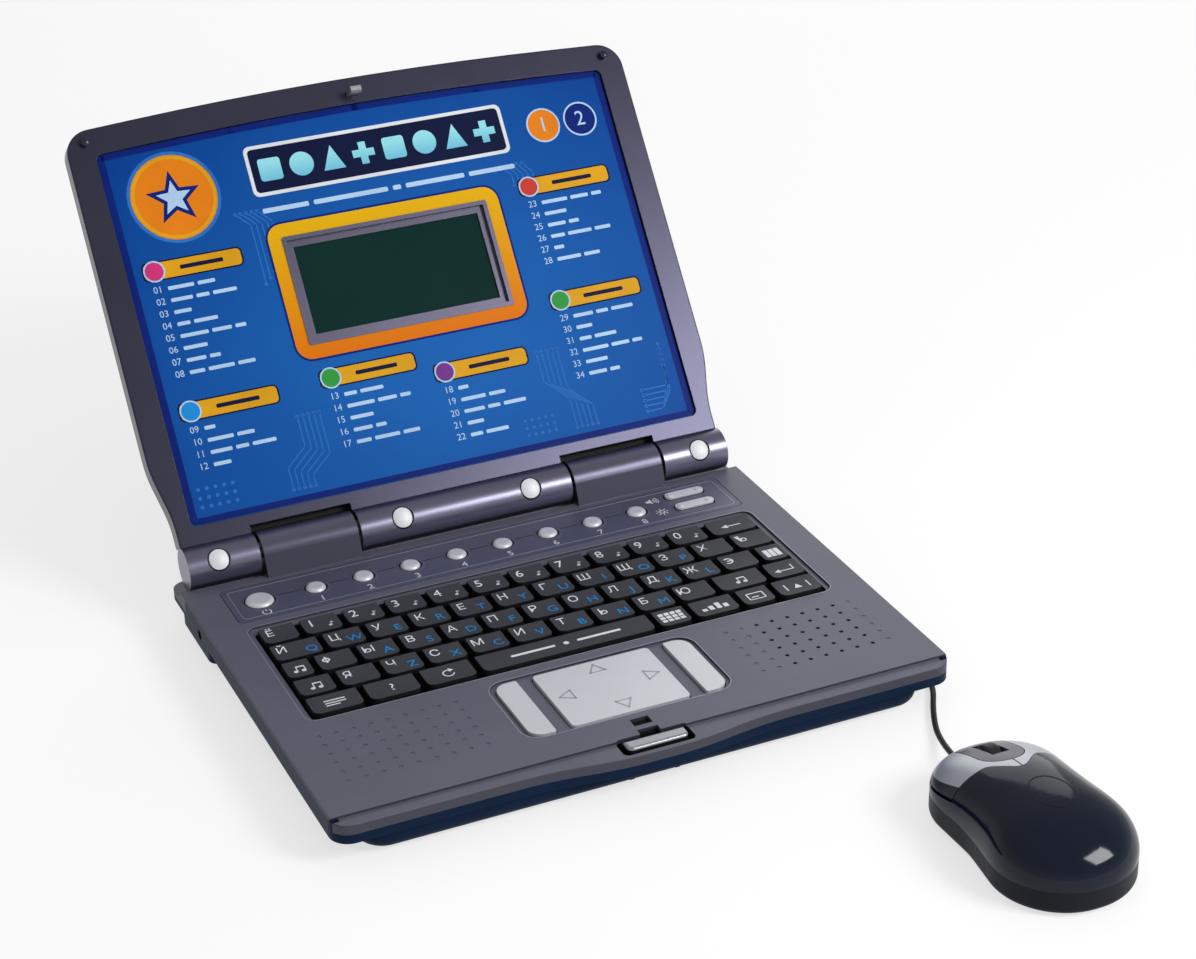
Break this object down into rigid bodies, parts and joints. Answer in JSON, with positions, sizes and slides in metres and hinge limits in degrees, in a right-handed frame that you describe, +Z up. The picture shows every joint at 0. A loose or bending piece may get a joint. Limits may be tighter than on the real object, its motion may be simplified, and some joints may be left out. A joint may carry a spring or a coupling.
{
  "type": "toy laptop computer",
  "caption": "Child's toy laptop with a folding lid around a small screen, key rows, round function buttons, a tipping pad, a lid latch and a corded mouse.",
  "frame": {"origin": "table plane under the middle of the base", "axes": "+X to the user's right, +Y from the user to the back, +Z up"},
  "size_m": [0.2781, 0.4843, 0.1928],
  "materials": {
    "deck_grey": "satin dark metallic grey",
    "bezel_grey": "satin dark metallic grey",
    "panel_grey": "satin grey",
    "navy_shell": "gloss navy",
    "key_black": "matte charcoal",
    "silver_plastic": "satin silver",
    "overlay_blue": "printed gloss",
    "lcd_glass": "clear",
    "lcd_green": "matte",
    "cell_jacket": "gloss",
    "spring_steel": "bright",
    "circuit_board": "matte",
    "membrane_rubber": "matte",
    "cord_rubber": "matte black",
    "speaker_black": "matte",
    "socket_black": "matte",
    "mouse_navy": "gloss navy",
    "mouse_under": "gloss dark",
    "skate_grey": "matte",
    "lens_clear": "clear"
  },
  "bodies": {
    "base": {"base_top_shell": "deck_grey", "base_bottom_shell": "navy_shell", "function_panel": "panel_grey", "battery_door": "navy_shell", "batteries": "cell_jacket", "battery_contacts": "spring_steel", "main_board": "circuit_board", "keypad_membrane": "membrane_rubber", "speaker": "speaker_black", "dc_socket": "socket_black", "cord_outlet": "cord_rubber", "hinge_pins": "spring_steel", "base_screws": "spring_steel", "rubber_feet": "cord_rubber", "latch_spring": "spring_steel", "mouse_base": "mouse_under", "mouse_palm_shell": "mouse_navy", "mouse_inlay": "mouse_navy", "mouse_skates": "skate_grey", "mouse_lens": "lens_clear", "mouse_board": "circuit_board", "mouse_strain_relief": "cord_rubber", "mouse_cord": "cord_rubber"},
    "lid": {"lid_bezel": "bezel_grey", "lid_back_shell": "bezel_grey", "screen_overlay": "overlay_blue", "lcd_frame": "panel_grey", "lcd_window": "lcd_glass", "lcd_panel": "lcd_green", "latch_hook": "silver_plastic", "lid_bumpers": "silver_plastic", "hinge_caps": "silver_plastic"},
    "power_button": {"power_button": "silver_plastic"},
    "function_button_1": {"function_button_1": "silver_plastic"},
    "function_button_2": {"function_button_2": "silver_plastic"},
    "function_button_3": {"function_button_3": "silver_plastic"},
    "function_button_4": {"function_button_4": "silver_plastic"},
    "function_button_5": {"function_button_5": "silver_plastic"},
    "function_button_6": {"function_button_6": "silver_plastic"},
    "function_button_7": {"function_button_7": "silver_plastic"},
    "function_button_8": {"function_button_8": "silver_plastic"},
    "volume_rocker": {"volume_rocker": "silver_plastic"},
    "contrast_rocker": {"contrast_rocker": "silver_plastic"},
    "number_row_keys": {"number_row_keys": "key_black"},
    "top_row_keys": {"top_row_keys": "key_black"},
    "home_row_keys": {"home_row_keys": "key_black"},
    "bottom_row_keys": {"bottom_row_keys": "key_black"},
    "command_row_keys": {"command_row_keys": "key_black"},
    "space_bar": {"space_bar": "key_black"},
    "pad_pivot": {"pad_pivot": "socket_black"},
    "direction_pad": {"direction_pad": "silver_plastic"},
    "left_pad_button": {"left_pad_button": "silver_plastic"},
    "right_pad_button": {"right_pad_button": "silver_plastic"},
    "latch_release": {"latch_release": "silver_plastic"},
    "mouse_left_button": {"mouse_left_button": "silver_plastic"},
    "mouse_right_button": {"mouse_right_button": "silver_plastic"},
    "mouse_wheel": {"mouse_wheel": "cord_rubber"}
  },
  "joints": [
    {"name": "lid_hinge", "type": "hinge", "parent": "base", "child": "lid", "pos_m": [0, 0.0977, 0.0264], "axis": [1, 0, 0], "range_deg": [0, 126.8]},
    {"name": "number_row_keys_press", "type": "slide", "parent": "base", "child": "number_row_keys", "axis": [0, 0, -1], "range_m": [0, 0.0008], "stiffness_N_per_m": 700, "springref_m": -0.0005, "deforming": ["keypad_membrane"]},
    {"name": "top_row_keys_press", "type": "slide", "parent": "base", "child": "top_row_keys", "axis": [0, 0, -1], "range_m": [0, 0.0008], "stiffness_N_per_m": 700, "springref_m": -0.0005, "deforming": ["keypad_membrane"]},
    {"name": "home_row_keys_press", "type": "slide", "parent": "base", "child": "home_row_keys", "axis": [0, 0, -1], "range_m": [0, 0.0008], "stiffness_N_per_m": 700, "springref_m": -0.0005, "deforming": ["keypad_membrane"]},
    {"name": "bottom_row_keys_press", "type": "slide", "parent": "base", "child": "bottom_row_keys", "axis": [0, 0, -1], "range_m": [0, 0.0008], "stiffness_N_per_m": 700, "springref_m": -0.0005, "deforming": ["keypad_membrane"]},
    {"name": "command_row_keys_press", "type": "slide", "parent": "base", "child": "command_row_keys", "axis": [0, 0, -1], "range_m": [0, 0.0008], "stiffness_N_per_m": 700, "springref_m": -0.0005, "deforming": ["keypad_membrane"]},
    {"name": "space_bar_press", "type": "slide", "parent": "base", "child": "space_bar", "axis": [0, 0, -1], "range_m": [0, 0.0008], "stiffness_N_per_m": 500, "springref_m": -0.0005, "deforming": ["keypad_membrane"]},
    {"name": "power_button_press", "type": "slide", "parent": "base", "child": "power_button", "axis": [0, 0, -1], "range_m": [0, 0.0008], "stiffness_N_per_m": 400, "springref_m": -0.0005, "deforming": ["keypad_membrane"]},
    {"name": "function_button_1_press", "type": "slide", "parent": "base", "child": "function_button_1", "axis": [0, 0, -1], "range_m": [0, 0.0008], "stiffness_N_per_m": 400, "springref_m": -0.0005, "deforming": ["keypad_membrane"]},
    {"name": "function_button_2_press", "type": "slide", "parent": "base", "child": "function_button_2", "axis": [0, 0, -1], "range_m": [0, 0.0008], "stiffness_N_per_m": 400, "springref_m": -0.0005, "deforming": ["keypad_membrane"]},
    {"name": "function_button_3_press", "type": "slide", "parent": "base", "child": "function_button_3", "axis": [0, 0, -1], "range_m": [0, 0.0008], "stiffness_N_per_m": 400, "springref_m": -0.0005, "deforming": ["keypad_membrane"]},
    {"name": "function_button_4_press", "type": "slide", "parent": "base", "child": "function_button_4", "axis": [0, 0, -1], "range_m": [0, 0.0008], "stiffness_N_per_m": 400, "springref_m": -0.0005, "deforming": ["keypad_membrane"]},
    {"name": "function_button_5_press", "type": "slide", "parent": "base", "child": "function_button_5", "axis": [0, 0, -1], "range_m": [0, 0.0008], "stiffness_N_per_m": 400, "springref_m": -0.0005, "deforming": ["keypad_membrane"]},
    {"name": "function_button_6_press", "type": "slide", "parent": "base", "child": "function_button_6", "axis": [0, 0, -1], "range_m": [0, 0.0008], "stiffness_N_per_m": 400, "springref_m": -0.0005, "deforming": ["keypad_membrane"]},
    {"name": "function_button_7_press", "type": "slide", "parent": "base", "child": "function_button_7", "axis": [0, 0, -1], "range_m": [0, 0.0008], "stiffness_N_per_m": 400, "springref_m": -0.0005, "deforming": ["keypad_membrane"]},
    {"name": "function_button_8_press", "type": "slide", "parent": "base", "child": "function_button_8", "axis": [0, 0, -1], "range_m": [0, 0.0008], "stiffness_N_per_m": 400, "springref_m": -0.0005, "deforming": ["keypad_membrane"]},
    {"name": "left_pad_button_press", "type": "slide", "parent": "base", "child": "left_pad_button", "axis": [0, 0, -1], "range_m": [0, 0.0006], "stiffness_N_per_m": 400, "springref_m": -0.0005, "deforming": ["keypad_membrane"]},
    {"name": "right_pad_button_press", "type": "slide", "parent": "base", "child": "right_pad_button", "axis": [0, 0, -1], "range_m": [0, 0.0006], "stiffness_N_per_m": 400, "springref_m": -0.0005, "deforming": ["keypad_membrane"]},
    {"name": "volume_rocker_tip", "type": "hinge", "parent": "base", "child": "volume_rocker", "pos_m": [0.1004, 0.0741, 0.0136], "axis": [0, 1, 0], "range_deg": [-3, 3], "stiffness_Nm_per_rad": 0.05, "deforming": ["keypad_membrane"]},
    {"name": "contrast_rocker_tip", "type": "hinge", "parent": "base", "child": "contrast_rocker", "pos_m": [0.1004, 0.0629, 0.0136], "axis": [0, 1, 0], "range_deg": [-3, 3], "stiffness_Nm_per_rad": 0.05, "deforming": ["keypad_membrane"]},
    {"name": "pad_tip_sideways", "type": "hinge", "parent": "base", "child": "pad_pivot", "pos_m": [0, -0.0637, 0.0166], "axis": [0, 1, 0], "range_deg": [-2, 2], "stiffness_Nm_per_rad": 0.3},
    {"name": "pad_tip_forward", "type": "hinge", "parent": "pad_pivot", "child": "direction_pad", "pos_m": [0, -0.0637, 0.0166], "axis": [1, 0, 0], "range_deg": [-2, 2], "stiffness_Nm_per_rad": 0.3},
    {"name": "latch_push", "type": "slide", "parent": "base", "child": "latch_release", "axis": [0, 1, 0], "range_m": [0, 0.002], "stiffness_N_per_m": 300, "springref_m": -0.003, "deforming": ["latch_spring"]},
    {"name": "mouse_left_button_click", "type": "hinge", "parent": "base", "child": "mouse_left_button", "pos_m": [0.1085, -0.2023, 0.03], "axis": [-1, 0, 0], "range_deg": [0, 1.2], "stiffness_Nm_per_rad": 1, "springref_deg": -0.57},
    {"name": "mouse_right_button_click", "type": "hinge", "parent": "base", "child": "mouse_right_button", "pos_m": [0.1085, -0.2023, 0.03], "axis": [-1, 0, 0], "range_deg": [0, 1.2], "stiffness_Nm_per_rad": 1, "springref_deg": -0.57},
    {"name": "mouse_wheel_turn", "type": "hinge", "parent": "base", "child": "mouse_wheel", "pos_m": [0.1085, -0.1793, 0.0192], "axis": [1, 0, 0], "continuous": true}
  ]
}
